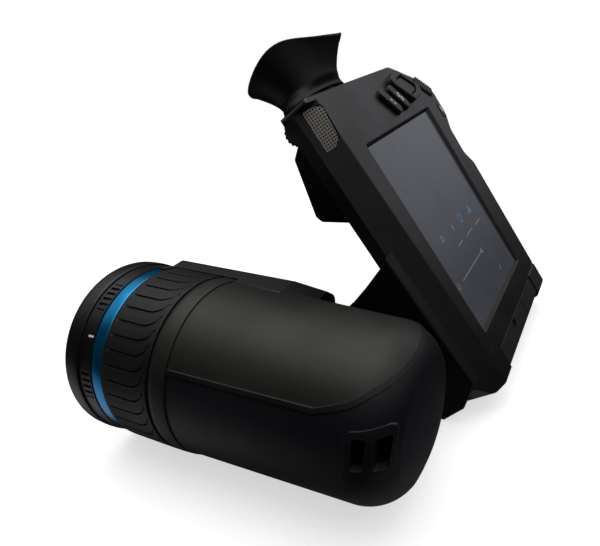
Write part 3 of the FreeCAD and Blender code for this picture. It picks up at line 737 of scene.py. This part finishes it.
def screen_marks():
    """Faint menu on the screen, with generic symbols only."""
    level = 0.05
    blue = loop((-112.8, 51.6), 2.6, 0.8)
    blue += polygon((-127.5, 51.8), [(-2.6, 2.4), (2.6, 2.4), (0, -2.8)])
    mark("screen_marks_blue", blue, level, MARKS["screen_blue"], "display_unit")
    grey = pill((-100.2, 51.7), 2.8, 1.2, 90.0) + loop((-84.9, 51.2), 1.6, 0.7)
    grey += pill((-99.0, 59.8), 7.0, 0.6, 2.0) + pill((-114.0, 60.2), 10.0, 0.6, 1.0)
    grey += pill((-129.0, 60.6), 9.0, 0.6, 1.0) + pill((-97.0, 72.0), 33.0, 0.55, 0.0)
    grey += polygon((-114.0, 72.0), [(-1.6, 1.5), (1.8, 0.0), (-1.6, -1.5)])
    grey += loop((-73.8, 71.8), 1.5, 0.4)
    grey += pill((-124.2, 87.0), 2.8, 0.8, 60.0)
    mark("screen_marks_grey", grey, level, MARKS["screen_grey"], "display_unit")


def recess_wall_painted_shade():
    """Thin black sheet over the walls of the recess that the glass lies in: painted shade on the recess walls."""
    glass_points = [v.co for v in nodes["screen_glass"].data.vertices]
    across = [(p - DISPLAY).dot(SIDE) / MM for p in glass_points]
    along = [(p - DISPLAY).dot(DOWN) / MM for p in glass_points]
    gap = 0.1
    x0, x1, s0, s1 = min(across) - gap, max(across) + gap, min(along) - gap, max(along) + gap
    section = ((0.35, 0.02), (0.0, 0.05), (-0.85, 1.0), (-1.25, 1.42), (-1.0, 1.44), (-0.4, 1.0),
               (0.35, 0.3))
    points = []
    for x, s in ((x0, s0), (x1, s0), (x1, s1), (x0, s1)):
        side = 1 if x == x1 else -1
        down = 1 if s == s1 else -1
        for inset, h in section:
            points.append(slab(x - side * inset, s - down * inset, h))
    faces = ring_faces(4, len(section))
    # dark sheet that paints the shade falling on the recess walls
    piece("recess_wall_painted_shade", points, faces, LOOKS["seal_rubber"], "display_unit")


# ------------------------------------------------------------------------------- camera and light

def studio():
    """Pale floor, lit enough to run into the white backdrop, which adds nothing to the object's light."""
    level = cad_bounds[0][2]
    reach = 12.0
    corners = ((-reach, -reach), (reach, -reach), (reach, reach), (-reach, reach))
    points = [(x, y, level) for x, y in corners]
    mesh = bpy.data.meshes.new("floor")
    mesh.from_pydata(points, [], [(0, 1, 2, 3)])
    material, tree, shader, coords = new_material("floor_paper", (0.86, 0.86, 0.86))
    tone = spread(tree, noise(tree, coords, 8.0, 4.0), 0.0, 1.0)
    base = blend_colours(tree, tone, (0.85, 0.85, 0.85), (0.87, 0.87, 0.87))
    link(tree, base, shader.inputs["Base Color"])
    shader.inputs["Roughness"].default_value = 0.9
    shader.inputs["Emission Color"].default_value = (1, 1, 1, 1)
    shader.inputs["Emission Strength"].default_value = 0.62
    mesh.materials.append(material)
    floor = bpy.data.objects.new("floor", mesh)
    bpy.context.scene.collection.objects.link(floor)
    floor.visible_diffuse = False
    floor.visible_glossy = False


def soft_light(name, place, target, size, power):
    """Rectangular lamp that faces a target."""
    data = bpy.data.lights.new(name, "AREA")
    data.shape = "RECTANGLE"
    data.size, data.size_y = size
    data.energy = power
    light = bpy.data.objects.new(name, data)
    bpy.context.scene.collection.objects.link(light)
    light.location = place
    light.rotation_euler = (Vector(target) - Vector(place)).to_track_quat("-Z", "Y").to_euler()


def glow(tree, direction, target, inner, outer, colour):
    """Soft patch of light in the surroundings, as a colour: full inside inner degrees, none past outer."""
    dot = tree.nodes.new("ShaderNodeVectorMath")
    dot.operation = "DOT_PRODUCT"
    link(tree, direction, dot.inputs[0])
    dot.inputs[1].default_value = Vector(target).normalized()
    edge = math.cos(math.radians(outer))
    core = math.cos(math.radians(inner))
    amount = spread(tree, dot.outputs["Value"], 0.0, 1.0, edge, core)
    return blend_colours(tree, amount, (0, 0, 0), colour)


def add_colours(tree, first, second):
    """Sum of two colours."""
    node = tree.nodes.new("ShaderNodeVectorMath")
    node.operation = "ADD"
    link(tree, first, node.inputs[0])
    link(tree, second, node.inputs[1])
    return node.outputs["Vector"]


WORLD_GLOWS = [    # direction, inner and outer degrees, colour
    ((-0.22, 0.22, 0.95), 5.0, 66.0, (0.8, 0.8, 0.8)),        # dome overhead
    ((-0.87, 0.34, 0.38), 3.0, 24.0, (0.5, 0.52, 0.56)),       # window behind the display
    ((0.45, -0.72, -0.53), 4.0, 30.0, (0.5, 0.5, 0.53)),      # light off the table, before the lens
    ((-0.13, -0.73, 0.67), 6.0, 34.0, (0.5, 0.5, 0.5)),       # light over the lens
    ((-0.1, 0.4, -0.9), 10.0, 60.0, (0.14, 0.14, 0.15)),      # light off the table, behind the block
]


def surroundings():
    """White room for the backdrop; what lights and mirrors in the object is the glows."""
    world = bpy.data.worlds.new("studio")
    bpy.context.scene.world = world
    world.use_nodes = True
    tree = world.node_tree
    tree.nodes.clear()
    direction = tree.nodes.new("ShaderNodeTexCoord").outputs["Generated"]
    patches = [glow(tree, direction, *values) for values in WORLD_GLOWS]
    total = patches[0]
    for patch in patches[1:]:
        total = add_colours(tree, total, patch)
    dome = tree.nodes.new("ShaderNodeBackground")
    link(tree, total, dome.inputs["Color"])
    dome.inputs["Strength"].default_value = 1.0
    white = tree.nodes.new("ShaderNodeBackground")
    white.inputs["Color"].default_value = (1, 1, 1, 1)
    white.inputs["Strength"].default_value = 1.0
    path = tree.nodes.new("ShaderNodeLightPath")
    mix = tree.nodes.new("ShaderNodeMixShader")
    link(tree, path.outputs["Is Camera Ray"], mix.inputs["Fac"])
    link(tree, dome.outputs["Background"], mix.inputs[1])
    link(tree, white.outputs["Background"], mix.inputs[2])
    output = tree.nodes.new("ShaderNodeOutputWorld")
    link(tree, mix.outputs["Shader"], output.inputs["Surface"])


def camera():
    """Camera above the display user's near side, looking down across the object."""
    data = bpy.data.cameras.new("camera")
    data.lens = 30.84
    data.sensor_width = 36.0
    data.shift_x = -0.1025
    data.shift_y = 0.1155
    data.clip_start = 0.01
    view = Vector((-0.7360, -0.3650, -0.5702)).normalized()
    up = Vector((-0.534, -0.205, 0.821))
    right = view.cross(up).normalized()
    up = right.cross(view).normalized()
    obj = bpy.data.objects.new("camera", data)
    bpy.context.scene.collection.objects.link(obj)
    axes = Matrix((right, up, -view)).transposed().to_4x4()
    obj.matrix_world = Matrix.Translation(block(128.1, 175.1, 127.7)) @ axes
    bpy.context.scene.camera = obj
    bpy.context.scene.view_settings.view_transform = "Standard"


def main():
    dress_cad_nodes()
    front_ring()
    index_band()
    blue_ring()
    focus_ring()
    cheek_gap_painted_shade()
    bayonet_collar()
    eyecup()
    speaker_grille()
    key_symbols()
    screen_marks()
    recess_wall_painted_shade()
    microphone()
    studio()
    surroundings()
    soft_light("overhead", block(-70, 20, 420), block(-30, 60, 0), (0.5, 0.5), 0.9)
    camera()


main()
